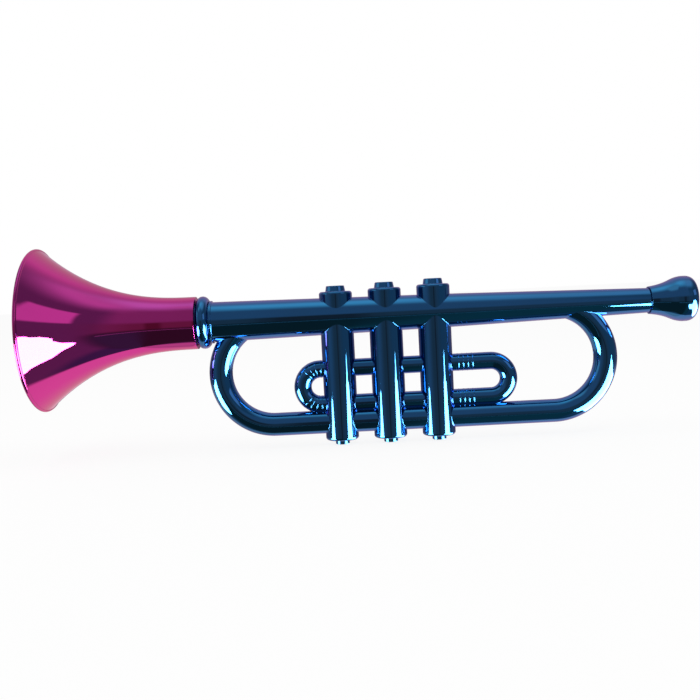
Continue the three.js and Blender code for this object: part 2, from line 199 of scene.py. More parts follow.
class TrumpetPipeSizes(PropertyGroup):
    """The main pipe and what it carries at its two ends"""

    bell_radius: length("Bell end radius", "Outside of the pipe at the bell", 10.05)
    knee_radius: length("Knee radius", "Outside where the taper changes", 8.3)
    mouth_radius: length("Mouth radius", "Outside at the mouthpiece", 6.15)
    bell_reach: length("Bell reach", "Middle valve to the stop bead", 85.9)
    knee_reach: length("Knee reach", "Middle valve to the change of taper", 36)
    mouth_reach: length("Mouth reach", "Middle valve to the tenon", 131.2)
    wall: length("Wall", "Of the moulded halves", 1.5)
    clearance: length("Clearance", "Between pieces that push together", 0.3)
    parting_gap: length("Parting gap", "Glue line between the halves", 0.01)
    bead_width: length("Bead width", "Of the stop bead behind the collar", 1.3)
    bead_height: length("Bead height", "How far the stop bead stands out", 0.6)
    tenon_step: length("Tenon step", "How much thinner it is than the pipe", 0.75)
    tenon_wall: length("Tenon wall", "Around the reed", 1.2)
    seat_length: length("Reed seat length", "Depth in the tenon", 22)
    web_thickness: length("Web thickness", "Wall that stops the reed block", 2.2)
    web_hole_radius: length("Web hole radius", "Air hole behind the reed block", 3.2)


class TrumpetValveSizes(PropertyGroup):
    """The three fixed valve columns with their buttons and caps"""

    count: IntProperty(name="Valves", description="Number of valve columns", default=3, min=1)
    pitch: length("Pitch", "From one column to the next", 24.35)
    radius: length("Radius", "Of a column", 8.25)
    rise: length("Rise", "Pipe axis to the flat top of the middle column", 12.95)
    step: length("Step", "Rise from one column to the next", 0.65)
    edge: length("Edge", "Rounding of a column's rims", 1.3)
    button_radius: length("Button radius", "At its foot", 5)
    button_top_radius: length("Button top radius", "At its top", 4.5)
    button_height: length("Button height", "Above the column", 2.8)
    button_edge: length("Button edge", "Rounding of its top", 0.55)
    cap_radius: length("Cap radius", "Below a column", 3.5)
    cap_height: length("Cap height", "Below a column's flat end", 2.3)
    cap_edge: length("Cap edge", "Rounding of its end", 0.4)
    foot_fillet: length("Foot fillet", "Where button and cap meet the column", 0.3)


class TrumpetLoopSizes(PropertyGroup):
    """The large loop, the small loop in it and the finger rings"""

    radius: length("Loop radius", "Of the large loop's tube", 5.8)
    above_foot: length("Loop height", "Lower run above the columns' feet", 9.1)
    bell_inset: length("Bell inset", "Bend's far point from the stop bead", 2.35)
    mouth_inset: length("Mouth inset", "Bend's far point from the tenon", 22.15)
    slide_radius: length("Slide radius", "Of the small loop's tube", 4.35)
    slide_sink: length("Slide sink", "How deep it sits in the large loop", 1.15)
    slide_bend: length("Slide bend", "Radius of its bends", 8.9)
    slide_bell_overhang: length("Slide bell overhang", "Outer column's axis to the bend's centre", 9.65)
    slide_mouth_overhang: length("Slide mouth overhang", "Outer column's axis to the bend's centre", 27)
    slide_gap: length("Slide gap", "Between its ends in the middle column", 2)
    ring_count: IntProperty(name="Rings", description="Finger rings on each run", default=4, min=0)
    ring_pitch: length("Ring pitch", "From one finger ring to the next", 2.35)
    ring_width: length("Ring width", "At its foot", 1)
    ring_height: length("Ring height", "How far it stands out", 0.2)
    ring_bell_start: length("Ring start at the bell", "Column's flank to the first ring", 0.9)
    ring_mouth_start: length("Ring start at the mouth", "Column's flank to the first ring", 2.5)


class TrumpetBellSizes(PropertyGroup):
    """The flared bell and the collar ring behind it"""

    wall: length("Wall", "Wall of the flare", 1.5)
    neck_wall: length("Neck wall", "Wall of the neck's sleeve", 2.75)
    lip_width: length("Lip width", "Of the rolled rim, along the axis", 1.8)
    lip_height: length("Lip height", "How far the rolled rim stands out", 1)
    edge: length("Edge", "Rounding of the neck's end", 0.25)


class TrumpetMouthpieceSizes(PropertyGroup):
    """The mouthpiece with its sleeve, bulb and cup"""

    sleeve_wall: length("Sleeve wall", "Wall of the sleeve over the tenon", 1.15)
    cup_depth: length("Cup depth", "Depth of the cup for the lips", 7.5)
    cup_radius: length("Cup radius", "At its rim", 6.9)
    throat_radius: length("Throat radius", "Of the hole below the cup", 2)
    throat_length: length("Throat length", "Length of that hole", 3)
    chamber_radius: length("Chamber radius", "Of the space over the reed", 3.2)


class TrumpetFinishes(PropertyGroup):
    """Colours of the lacquers and plastics"""

    blue: colour("Blue lacquer", "Lacquer over the metal coat of body and mouthpiece", "#057AB6")
    magenta: colour("Magenta lacquer", "Lacquer over the metal coat of the bell", "#D6269E")
    ivory: colour("Ivory plastic", "Reed block and clamp", "#E6DFCC")
    amber: colour("Amber film", "Reed tongue", "#D9B56A")


class TrumpetStudio(PropertyGroup):
    """Camera and light"""

    distance: length("Camera distance", "From the camera to the plane of the loops", 459)
    camera_x: length("Camera X", "Place along the toy", -7.9, -1)
    camera_height: length("Camera height", "Height over the floor", 75.1)
    aim_x: length("Aim X", "Point looked at", -9.45, -1)
    aim_height: length("Aim height", "Height of the point looked at", 46.95)
    roll: FloatProperty(
        name="Roll", description="Tilt of the camera", default=radians(-2.9), subtype="ANGLE"
    )
    lens: FloatProperty(name="Lens", description="Focal length in millimetres", default=47.23, min=1)
    lamp_power: FloatProperty(name="Lamp power", description="Of the overhead lamp", default=6, unit="POWER")
    fill: FloatProperty(name="Fill", description="Brightness of the light from all round", default=0.75)
    umbrella_glow: FloatProperty(name="Umbrella glow", description="Their brightness", default=15.5)


def unit(vectors):
    """Vectors brought to length one."""
    vectors = np.asarray(vectors, float)
    return vectors / np.maximum(np.linalg.norm(vectors, axis=-1, keepdims=True), TINY)


def even_turns(start, end, steps):
    """Angles in even steps from one to another."""
    return [start + (end - start) * step / steps for step in range(steps + 1)]


def rounded(corners, steps=ROUND_STEPS):
    """A line through (along, radius, rounding) corners, with arcs where there is a rounding."""
    line = []
    for place, (along, radius, rounding) in enumerate(corners):
        corner = np.array([along, radius])
        if not rounding:
            line.append(tuple(corner))
            continue
        sides = (corners[place - 1], corners[(place + 1) % len(corners)])
        back, ahead = (unit(np.array(side[:2]) - corner) for side in sides)
        half = acos(float(back @ ahead)) / 2
        centre = corner + unit(back + ahead) * rounding / sin(half)
        start, end = (corner + way * rounding / tan(half) - centre for way in (back, ahead))
        sweep = pi - 2 * half
        for step in range(steps + 1):
            share = step / steps
            turn = (start * sin((1 - share) * sweep) + end * sin(share * sweep)) / sin(sweep)
            line.append(tuple(centre + turn))
    return line


def smoothed(points, steps=CURVE_STEPS):
    """A natural cubic spline through points, with some steps between each two."""
    points = np.array(points, float)
    reach = np.concatenate([[0], np.cumsum(np.linalg.norm(np.diff(points, axis=0), axis=1))])
    gaps = np.diff(reach)
    slopes = np.diff(points, axis=0) / gaps[:, None]
    matrix = np.eye(len(points))
    right = np.zeros_like(points)
    for row in range(1, len(points) - 1):
        matrix[row, row - 1:row + 2] = gaps[row - 1], 2 * (gaps[row - 1] + gaps[row]), gaps[row]
        right[row] = 6 * (slopes[row] - slopes[row - 1])
    bends = np.linalg.solve(matrix, right)
    line = [tuple(points[0])]
    for row, gap in enumerate(gaps):
        for step in range(1, steps + 1):
            ahead = gap * step / steps
            rest = gap - ahead
            line.append(tuple(
                (bends[row] * rest ** 3 + bends[row + 1] * ahead ** 3) / (6 * gap)
                + (points[row] / gap - bends[row] * gap / 6) * rest
                + (points[row + 1] / gap - bends[row + 1] * gap / 6) * ahead
            ))
    return line


class Turned:
    """A profile of (along, radius) points turned about an axis.

    The profile starts and ends on the axis, or closes on itself. Segments that meet at less than
    SMOOTH_ANGLE shade as one curve. An axis that rises by more than STEEP of its length is steep.
    """

    SMOOTH_ANGLE = radians(32)
    STEEP = 0.5

    def __init__(self, profile, origin, axis, sides):
        self.profile = np.array(profile, float)
        self.origin = np.array(origin, float)
        self.axis = unit(axis)
        self.sides = sides
        self.closed = self.profile[0, 1] > TINY
        ahead = np.roll(self.profile, -1, axis=0)
        if not self.closed:
            ahead = ahead[:-1]
        self.starts = self.profile[:len(ahead)]
        self.runs = ahead - self.starts
        self.lengths = np.linalg.norm(self.runs, axis=1)
        self.flats = flats = unit(np.stack([-self.runs[:, 1], self.runs[:, 0]], axis=1))
        self.start_normals = flats.copy()
        self.end_normals = flats.copy()
        for this in range(len(flats) if self.closed else len(flats) - 1):
            after = (this + 1) % len(flats)
            if flats[this] @ flats[after] > cos(self.SMOOTH_ANGLE):
                shared = unit(flats[this] * self.lengths[this] + flats[after] * self.lengths[after])
                self.end_normals[this] = shared
                self.start_normals[after] = shared

    def mesh(self, name):
        first = unit(np.cross(self.axis, ACROSS if abs(self.axis[2]) < self.STEEP else ASKEW))
        second = np.cross(self.axis, first)
        angles = np.arange(self.sides) * tau / self.sides
        spokes = np.cos(angles)[:, None] * first + np.sin(angles)[:, None] * second
        rings = []
        for along, radius in self.profile:
            middle = self.origin + self.axis * along
            rings.append([middle] if radius < TINY else list(middle + radius * spokes))
        return ring_mesh(name, rings, self.closed)

    def split(self, points):
        """Each point as (along, radius), and the direction in which it lies away from the axis."""
        offset = points - self.origin
        along = offset @ self.axis
        away = offset - along[:, None] * self.axis
        return np.stack([along, np.linalg.norm(away, axis=1)], axis=1), unit(away)

    def nearest(self, flat, segments):
        """How far along its segment each (along, radius) point lies, and how far from it."""
        offset = flat - self.starts[segments]
        runs = self.runs[segments]
        share = (offset * runs).sum(-1) / np.maximum(self.lengths[segments] ** 2, TINY ** 2)
        share = np.clip(share, 0, 1)[..., None]
        return share, np.linalg.norm(offset - share * runs, axis=-1)

    def match(self, points):
        """For each point, how far the surface is, which segment is nearest and the normal there."""
        flat, away = self.split(points)
        _, gap = self.nearest(flat[:, None], slice(None))
        nearest = gap.argmin(axis=1)
        normal = self.flats[nearest]
        return gap.min(axis=1), nearest, normal[:, :1] * self.axis + normal[:, 1:] * away

    def normals(self, points, segments):
        """The smooth normal at each point of the named segments."""
        flat, away = self.split(points)
        share, _ = self.nearest(flat, segments)
        normal = unit(self.start_normals[segments] * (1 - share) + self.end_normals[segments] * share)
        return unit(normal[:, :1] * self.axis + normal[:, 1:] * away)


class Straight:
    """A straight run of tube from one (x, z) place to another."""

    def __init__(self, start, end):
        self.start = np.array(start, float)
        self.end = np.array(end, float)

    def stations(self):
        heading = atan2(*(self.end - self.start)[::-1])
        return [(*self.start, heading), (*self.end, heading)]

    def nearest(self, flat):
        run = self.end - self.start
        share = np.clip((flat - self.start) @ run / (run @ run), 0, 1)
        return self.start + share[:, None] * run


class Bend:
    """A half circle of tube about an (x, z) centre, from an angle on."""

    def __init__(self, centre, radius, start):
        self.centre = np.array(centre, float)
        self.radius = radius
        self.start = start
        self.end = start + pi

    def stations(self):
        return [
            (*(self.centre + self.radius * np.array([cos(angle), sin(angle)])), angle + pi / 2)
            for angle in even_turns(self.start, self.end, BEND_STEPS)
        ]

    def nearest(self, flat):
        offset = flat - self.centre
        middle = (self.start + self.end) / 2
        angle = np.arctan2(offset[:, 1], offset[:, 0])
        angle = middle + (angle - middle + pi) % tau - pi
        angle = np.clip(angle, self.start, self.end)
        return self.centre + self.radius * np.stack([np.cos(angle), np.sin(angle)], axis=1)


class Swept:
    """A round tube along straights and bends in the plane of the loops."""

    def __init__(self, runs, radius, sides):
        self.runs = runs
        self.radius = radius
        self.sides = sides

    def mesh(self, name):
        stations = []
        for run in self.runs:
            for station in run.stations():
                if not stations or dist(station[:2], stations[-1][:2]) > TINY:
                    stations.append(station)
        angles = np.arange(self.sides) * tau / self.sides
        rings = []
        for x, z, heading in stations:
            outwards = np.array([-sin(heading), 0, cos(heading)])
            ring = np.cos(angles)[:, None] * outwards + np.sin(angles)[:, None] * np.array(ACROSS)
            rings.append(np.array([x, 0, z]) + self.radius * ring)
        return ring_mesh(name, rings)

    def match(self, points):
        flat = points[:, [0, 2]]
        places = np.stack([run.nearest(flat) for run in self.runs])
        gaps = np.linalg.norm(places - flat, axis=2)
        place = places[gaps.argmin(axis=0), np.arange(len(flat))]
        offset = points - np.stack([place[:, 0], np.zeros(len(place)), place[:, 1]], axis=1)
        distance = np.abs(np.linalg.norm(offset, axis=1) - self.radius)
        return distance, np.zeros(len(points), int), unit(offset)

    def normals(self, points, segments):
        return self.match(points)[2]


def joined(meshes):
    """One mesh with separate closed surfaces that don't touch, with its faces pointing out."""
    work = bmesh.new()
    for mesh in meshes:
        work.from_mesh(mesh)
    bmesh.ops.recalc_face_normals(work, faces=work.faces)
    whole = meshes[0]
    work.to_mesh(whole)
    work.free()
    return whole


def closed_mesh(name, vertices, faces):
    """A mesh of a closed surface with its faces pointing out."""
    mesh = bpy.data.meshes.new(name)
    mesh.from_pydata([tuple(v) for v in vertices], [], faces)
    return joined([mesh])


def ring_mesh(name, rings, closed=False):
    """A closed surface through rings of points, where a ring may be a single point.

    The last ring is joined to the first, or else each open end gets a face.
    """
    vertices = []
    numbers = []
    for ring in rings:
        numbers.append(range(len(vertices), len(vertices) + len(ring)))
        vertices.extend(ring)
    sides = max(len(ring) for ring in rings)
    pairs = list(zip(numbers, numbers[1:]))
    faces = []
    if closed:
        pairs.append((numbers[-1], numbers[0]))
    else:
        faces = [list(end) for end in (numbers[0], numbers[-1]) if len(end) > 1]
    for near, far in pairs:
        for side in range(sides):
            after = (side + 1) % sides
            corners = dict.fromkeys((
                near[side % len(near)], near[after % len(near)], far[after % len(far)], far[side % len(far)],
            ))
            if len(corners) > 2:
                faces.append(list(corners))
    return closed_mesh(name, vertices, faces)


def add_object(name, data):
    """A new object in the scene."""
    thing = bpy.data.objects.new(name, data)
    bpy.context.scene.collection.objects.link(thing)
    return thing


def carved(mesh, operation, tool):
    """The mesh joined with, cut by or kept within another closed mesh."""
    holder = add_object("carved", mesh)
    cutter = add_object("tool", tool)
    step = holder.modifiers.new("carve", "BOOLEAN")
    step.operation = operation
    step.solver = "MANIFOLD"
    step.object = cutter
    ready = holder.evaluated_get(bpy.context.evaluated_depsgraph_get())
    result = bpy.data.meshes.new_from_object(ready)
    bpy.data.objects.remove(holder)
    bpy.data.objects.remove(cutter)
    if not result.polygons:
        raise RuntimeError(f"nothing is left after {operation} of {tool.name}")
    return result


def block(name, low, high):
    """A closed box between two corners."""
    corners = [(x, y, z) for x in (low[0], high[0]) for y in (low[1], high[1]) for z in (low[2], high[2])]
    faces = [(0, 1, 3, 2), (4, 6, 7, 5), (0, 4, 5, 1), (2, 3, 7, 6), (0, 2, 6, 4), (1, 5, 7, 3)]
    return closed_mesh(name, corners, faces)


def set_true_normals(mesh, forms):
    """Shades the mesh with the exact normals of the turned and swept forms that it was cut from.

    A face that lies on none of them, such as one of the parting plane, stays flat.
    """
    count = len(mesh.polygons)
    centres = np.array([polygon.center for polygon in mesh.polygons])
    facing = np.array([polygon.normal for polygon in mesh.polygons])
    places = np.array([vertex.co for vertex in mesh.vertices])
    corners = places[[loop.vertex_index for loop in mesh.loops]]
    corner_face = np.repeat(np.arange(count), [polygon.loop_total for polygon in mesh.polygons])
    best = np.full(count, np.inf)
    owner = np.full(count, -1)
    segment = np.zeros(count, int)
    for number, form in enumerate(forms):
        distance, part, normal = form.match(centres)
        agreement = np.abs((normal * facing).sum(1))
        score = distance + (1 - agreement) * MM
        better = (distance < MATCH_TOLERANCE) & (agreement > MATCH_AGREEMENT) & (score < best)
        best[better] = score[better]
        owner[better] = number
        segment[better] = part[better]
    normals = facing[corner_face]
    for number, form in enumerate(forms):
        mine = owner[corner_face] == number
        if mine.any():
            found = form.normals(corners[mine], segment[corner_face[mine]])
            side = np.sign((found * facing[corner_face[mine]]).sum(1))
            normals[mine] = found * side[:, None]
    mesh.polygons.foreach_set("use_smooth", np.ones(count, bool))
    mesh.normals_split_custom_set(normals.tolist())
    mesh.update()


def show(name, mesh, body, slot, material, *nodes):
    """Puts a finished mesh in the scene as the piece that stands for the named nodes."""
    mesh.name = name
    mesh.materials.clear()
    mesh.materials.append(material)
    piece = add_object(name, mesh)
    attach(piece, body)
    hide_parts(*nodes)


def show_turned(name, profile, sides, slot, material, node):
    """Shows a profile turned about the pipe's axis."""
    form = Turned(profile, (0, 0, PIPE_Z), ALONG_PIPE, sides)
    mesh = form.mesh(name)
    set_true_normals(mesh, [form])
    show(name, mesh, "trumpet", slot, material, node)


def add_node(tree, kind, inputs=None, **settings):
    """Adds a node, sets its properties and fills its inputs with values or with other nodes' outputs."""
    node = tree.nodes.new(kind)
    for name, value in settings.items():
        setattr(node, name, value)
    for name, value in (inputs or {}).items():
        if isinstance(value, bpy.types.NodeSocket):
            tree.links.new(value, node.inputs[name])
        else:
            node.inputs[name].default_value = value
    return node


def maths(tree, operation, *values):
    """What a Math node makes of numbers or of other nodes' outputs."""
    return add_node(tree, "ShaderNodeMath", dict(enumerate(values)), operation=operation).outputs["Value"]


def mixed(tree, share, low, high):
    """A colour between two others, each of which may be a node's output."""
    low, high = (end if isinstance(end, bpy.types.NodeSocket) else (*end, 1) for end in (low, high))
    mix = add_node(tree, "ShaderNodeMix", {"Factor": share, "A": low, "B": high}, data_type="RGBA")
    return mix.outputs["Result"]


def noise(tree, place, millimetres, detail, roughness=0.5):
    """The level of a noise with grains of so many millimetres."""
    return add_node(tree, "ShaderNodeTexNoise", {
        "Vector": place, "Scale": 1 / (millimetres * MM), "Detail": detail, "Roughness": roughness,
    }).outputs["Fac"]


def shaded(tint, share):
    """A tint made darker or lighter, as far as white goes."""
    return tuple(min(1, channel * share) for channel in tint)


def new_material(name):
    """A material and its empty node tree."""
    material = bpy.data.materials.new(name)
    material.use_nodes = True
    material.node_tree.nodes.clear()
    return material, material.node_tree


def add_surface(tree, kind, inputs):
    """Adds the shader that a material shows."""
    shader = add_node(tree, kind, inputs)
    add_node(tree, "ShaderNodeOutputMaterial", {"Surface": shader.outputs[0]})


def metallised_plastic(name, tint):
    """Moulded polystyrene with a vacuum coat of aluminium under coloured lacquer.

    The aluminium gives a mirror, the lacquer tints it and adds its own clear reflection. At a slant
    the metal is tinted again, because the light's way through the lacquer is longer. The moulding is
    a little wavy, its corners are slightly rounded, and the lacquer is a little uneven in depth.
    """
    material, tree = new_material(name)
    place = add_node(tree, "ShaderNodeTexCoord").outputs["Object"]
    wave = noise(tree, place, 16, 1.0, 0.4)
    grain = noise(tree, place, 1.6, 2.0)
    depth = noise(tree, place, 30, 2.0)
    gloss = add_node(tree, "ShaderNodeMapRange", {"Value": grain, "To Min": 0.02, "To Max": 0.04})
    corner = add_node(tree, "ShaderNodeBevel", {"Radius": 0.35 * MM}, samples=4)
    swell = add_node(tree, "ShaderNodeBump", {
        "Height": wave, "Strength": 1.0, "Distance": 0.05 * MM, "Normal": corner.outputs["Normal"],
    })
    skin = add_node(tree, "ShaderNodeBump", {
        "Height": grain, "Strength": 1.0, "Distance": 0.001 * MM, "Normal": swell.outputs["Normal"],
    })
    add_surface(tree, "ShaderNodeBsdfPrincipled", {
        "Base Color": mixed(tree, depth, shaded(tint, 0.9), shaded(tint, 1.1)), "Metallic": 1.0,
        "Roughness": gloss.outputs["Result"], "Specular Tint": (*tint, 1), "Normal": skin.outputs["Normal"],
        "Coat Weight": 1.0, "Coat Roughness": 0.03, "Coat Normal": skin.outputs["Normal"],
    })
    return material


def ivory_plastic(name, tint):
    """Bare moulded polystyrene: a dull gloss with the fine texture of a spark-eroded mould."""
    material, tree = new_material(name)
    place = add_node(tree, "ShaderNodeTexCoord").outputs["Object"]
    texture = noise(tree, place, 0.4, 3.0)
    bump = add_node(tree, "ShaderNodeBump", {"Height": texture, "Strength": 0.6, "Distance": 0.02 * MM})
    add_surface(tree, "ShaderNodeBsdfPrincipled", {
        "Base Color": mixed(tree, texture, shaded(tint, 0.94), tint), "Roughness": 0.45, "IOR": 1.59,
        "Normal": bump.outputs["Normal"], "Subsurface Weight": 0.1, "Subsurface Scale": 0.5 * MM,
    })
    return material


def amber_film(name, tint):
    """Die-cut polyester film: glossy, half clear, with faint lines from its rolling."""
    material, tree = new_material(name)
    place = add_node(tree, "ShaderNodeTexCoord").outputs["Object"]
    lines = add_node(tree, "ShaderNodeTexWave", {
        "Vector": place, "Scale": 1 / (0.8 * MM), "Distortion": 1.5, "Detail": 1.0,
    }, bands_direction="Y")
    add_surface(tree, "ShaderNodeBsdfPrincipled", {
        "Base Color": mixed(tree, lines.outputs["Fac"], shaded(tint, 0.9), tint),
        "Roughness": 0.25, "IOR": 1.64, "Transmission Weight": 0.3,
    })
    return material


def middle_valve_x(scene):
    """Place of the middle valve along X, counted back from the mouthpiece's start."""
    pipe = scene.trumpet_pipe
    return MOUTHPIECE_LOW.x - pipe.clearance - pipe.mouth_reach


def valve_places(scene):
    """Each column's place along X and the height of its flat top above the pipe's axis."""
    valve = scene.trumpet_valves
    middle = middle_valve_x(scene)
    steps = [index - (valve.count - 1) / 2 for index in range(valve.count)]
    return [(middle + step * valve.pitch, valve.rise + step * valve.step) for step in steps]


def pipe_forms(scene):
    """Outside and air space of the pipe."""
    pipe = scene.trumpet_pipe
    middle_x = middle_valve_x(scene)
    bell_x = middle_x - pipe.bell_reach
    knee_x = middle_x + pipe.knee_reach
    mouth_x = middle_x + pipe.mouth_reach
    bead_x = bell_x - pipe.bead_width
    bead_radius = pipe.bell_radius + pipe.bead_height
    tenon_radius = pipe.mouth_radius - pipe.tenon_step
    seat_x = BODY_HIGH.x - pipe.seat_length
    web_x = seat_x - pipe.web_thickness
    web_share = (web_x - knee_x) / (mouth_x - knee_x)
    web_radius = pipe.knee_radius + web_share * (pipe.mouth_radius - pipe.knee_radius)
    overrun = pipe.wall
    edge = pipe.clearance
    outside = rounded([
        (BODY_LOW.x, 0, 0), (BODY_LOW.x, pipe.bell_radius, edge),
        (bead_x, pipe.bell_radius, 0), (bead_x, bead_radius, edge),
        (bell_x, bead_radius, edge), (bell_x, pipe.bell_radius, 0),
        (knee_x, pipe.knee_radius, 0),
        (mouth_x, pipe.mouth_radius, edge / 2), (mouth_x, tenon_radius, 0),
        (BODY_HIGH.x, tenon_radius, edge), (BODY_HIGH.x, 0, 0),
    ])
    air = [
        (BODY_LOW.x - overrun, 0), (BODY_LOW.x - overrun, pipe.bell_radius - pipe.wall),
        (bell_x, pipe.bell_radius - pipe.wall), (knee_x, pipe.knee_radius - pipe.wall),
        (web_x, web_radius - pipe.wall), (web_x, pipe.web_hole_radius),
        (seat_x, pipe.web_hole_radius), (seat_x, tenon_radius - pipe.tenon_wall),
        (BODY_HIGH.x + overrun, tenon_radius - pipe.tenon_wall), (BODY_HIGH.x + overrun, 0),
    ]
    centre = (0, 0, PIPE_Z)
    return Turned(outside, centre, ALONG_PIPE, PIPE_SIDES), Turned(air, centre, ALONG_PIPE, PIPE_SIDES)


def column_forms(scene, place, top):
    """Outside and air space of one valve column."""
    valve = scene.trumpet_valves
    wall = scene.trumpet_pipe.wall
    foot = BODY_LOW.z + valve.cap_height
    top = PIPE_Z + top
    button_top = top + valve.button_height
    outside = rounded([
        (BODY_LOW.z, 0, 0), (BODY_LOW.z, valve.cap_radius, valve.cap_edge),
        (foot, valve.cap_radius, valve.foot_fillet), (foot, valve.radius, valve.edge),
        (top, valve.radius, valve.edge), (top, valve.button_radius, valve.foot_fillet),
        (button_top, valve.button_top_radius, valve.button_edge), (button_top, 0, 0),
    ])
    air = [
        (foot + wall, 0), (foot + wall, valve.radius - wall),
        (top - wall, valve.radius - wall), (top - wall, valve.button_radius - wall),
        (button_top - wall, valve.button_top_radius - wall), (button_top - wall, 0),
    ]
    centre = (place, 0, 0)
    return Turned(outside, centre, UPWARDS, COLUMN_SIDES), Turned(air, centre, UPWARDS, INNER_SIDES)


def lower_runs(bell_x, mouth_x, middle_z, bend):
    """Two half circles and the straight run that joins them below."""
    low_z = middle_z - bend
    return [
        Bend((bell_x, middle_z), bend, pi / 2),
        Straight((bell_x, low_z), (mouth_x, low_z)),
        Bend((mouth_x, middle_z), bend, -pi / 2),
    ]


def large_loop_runs(scene):
    """Centre line of the large loop, from the pipe round to the pipe."""
    pipe = scene.trumpet_pipe
    loop = scene.trumpet_loops
    low_z = BODY_LOW.z + scene.trumpet_valves.cap_height + loop.above_foot
    bend = (PIPE_Z - low_z) / 2
    bell_x = middle_valve_x(scene) - pipe.bell_reach + loop.bell_inset + bend
    mouth_x = middle_valve_x(scene) + pipe.mouth_reach - loop.mouth_inset - bend
    return lower_runs(bell_x, mouth_x, low_z + bend, bend)


def slide_places(scene):
    """Centres of the small loop's two bends: where they are along X, and their height."""
    loop = scene.trumpet_loops
    valves = valve_places(scene)
    low_z = BODY_LOW.z + scene.trumpet_valves.cap_height + loop.above_foot
    low_z += loop.radius + loop.slide_radius - loop.slide_sink
    bell_x = valves[0][0] - loop.slide_bell_overhang
    mouth_x = valves[-1][0] + loop.slide_mouth_overhang
    return bell_x, mouth_x, low_z + loop.slide_bend


def slide_runs(scene):
    """Centre line of the small loop, which ends inside the middle column."""
    loop = scene.trumpet_loops
    bell_x, mouth_x, middle_z = slide_places(scene)
    middle_x = middle_valve_x(scene)
    high_z = middle_z + loop.slide_bend
    return [
        Straight((middle_x - loop.slide_gap / 2, high_z), (bell_x, high_z)),
        *lower_runs(bell_x, mouth_x, middle_z, loop.slide_bend),
        Straight((mouth_x, high_z), (middle_x + loop.slide_gap / 2, high_z)),
    ]


def ring_forms(scene):
    """The finger rings on both runs of the small loop, beside the outer columns."""
    loop = scene.trumpet_loops
    valves = valve_places(scene)
    bell_x, mouth_x, middle_z = slide_places(scene)
    half = loop.ring_width / 2
    crown = loop.slide_radius + loop.ring_height
    foot = loop.slide_radius - loop.ring_height
    profile = rounded([
        (-half, 0, 0), (-half, foot, 0), (0, crown, loop.ring_height * RING_CROWN_SHARE),
        (half, foot, 0), (half, 0, 0),
    ])
    sides = (
        (-1, valves[0][0], bell_x, loop.ring_bell_start),
        (1, valves[-1][0], mouth_x, loop.ring_mouth_start),
    )
    forms = []
    for side, column_x, bend_x, start in sides:
        flank = column_x + side * scene.trumpet_valves.radius
        run = abs(bend_x - flank)
        for level in (-1, 1):
            for index in range(loop.ring_count):
                distance = start + index * loop.ring_pitch
                angle = max(distance - run, 0) / loop.slide_bend
                x = flank + side * (min(distance, run) + loop.slide_bend * sin(angle))
                z = middle_z + level * loop.slide_bend * cos(angle)
                axis = (cos(angle), 0, -side * level * sin(angle))
                forms.append(Turned(profile, (x, 0, z), axis, RING_SIDES))
    return forms


def body_meshes(scene):
    """The two moulded halves of the body, with the exact normals of the forms in them."""
    loop = scene.trumpet_loops
    wall = scene.trumpet_pipe.wall
    pipe, bore = pipe_forms(scene)
    columns = [column_forms(scene, place, top) for place, top in valve_places(scene)]
    tubes = [
        (Swept(runs, radius, sides), Swept(runs, radius - wall, INNER_SIDES)) for runs, radius, sides in (
            (large_loop_runs(scene), loop.radius, LOOP_SIDES),
            (slide_runs(scene), loop.slide_radius, SLIDE_SIDES),
        )
    ]
    rings = ring_forms(scene)
    outer = carved(pipe.mesh("pipe"), "UNION", joined([column.mesh("column") for column, _ in columns]))
    air = carved(bore.mesh("bore"), "UNION", joined([cavity.mesh("cavity") for _, cavity in columns]))
    for tube, tube_air in tubes:
        outer = carved(outer, "UNION", tube.mesh("tube"))
        air = carved(air, "UNION", tube_air.mesh("tube_air"))
    outer = carved(outer, "UNION", joined([ring.mesh("ring") for ring in rings]))
    shell = carved(outer, "DIFFERENCE", air)
    forms = [pipe, bore, *rings]
    forms.extend(form for pair in (*columns, *tubes) for form in pair)
    low, high = CAD_BOX
    gap = scene.trumpet_pipe.parting_gap / 2
    halves = []
    for near, far in ((low[1] - wall, -gap), (gap, high[1] + wall)):
        space = block("space", (low[0] - wall, near, low[2] - wall), (high[0] + wall, far, high[2] + wall))
        mesh = carved(shell.copy(), "INTERSECT", space)
        set_true_normals(mesh, forms)
        halves.append(mesh)
    return halves


class TRUMPET_OT_body(Operator):
    """Makes the two moulded halves with pipe, valves, loops and finger rings"""

    bl_idname = "trumpet.body"
    bl_label = "Make Body"

    def execute(self, context):
        material = metallised_plastic(BLUE_FINISH, context.scene.trumpet_finishes.blue)
        front, rear = body_meshes(context.scene)
        show("body_front", front, "trumpet", "blue_metallised", material, "body_front_shell")
        show("body_rear", rear, "trumpet", "blue_metallised", material, "body_rear_shell")
        return {"FINISHED"}


def bell_outside(scene):
    """Outside of the flare from the neck to the rolled rim."""
    bell = scene.trumpet_bell
    neck_radius = scene.trumpet_pipe.bell_radius + scene.trumpet_pipe.clearance + bell.neck_wall
    rim_radius = BELL_RADIUS - bell.lip_height
    run = BELL_HIGH.x - BELL_LOW.x - bell.lip_width
    line = []
    for step in range(FLARE_STEPS + 1):
        share = step / FLARE_STEPS
        growth = sum(factor * share ** power for power, factor in enumerate(FLARE_GROWTH_SHARES, 2))
        line.append((BELL_HIGH.x - share * run, neck_radius + growth * (rim_radius - neck_radius)))
    return line


def inset(line, wall):
    """The same line moved towards the axis by a wall, square to itself."""
    points = np.array(line)
    runs = unit(np.gradient(points, axis=0))
    return [
        (along - abs(run[1]) * wall, radius - abs(run[0]) * wall)
        for (along, radius), run in zip(points, runs)
    ]


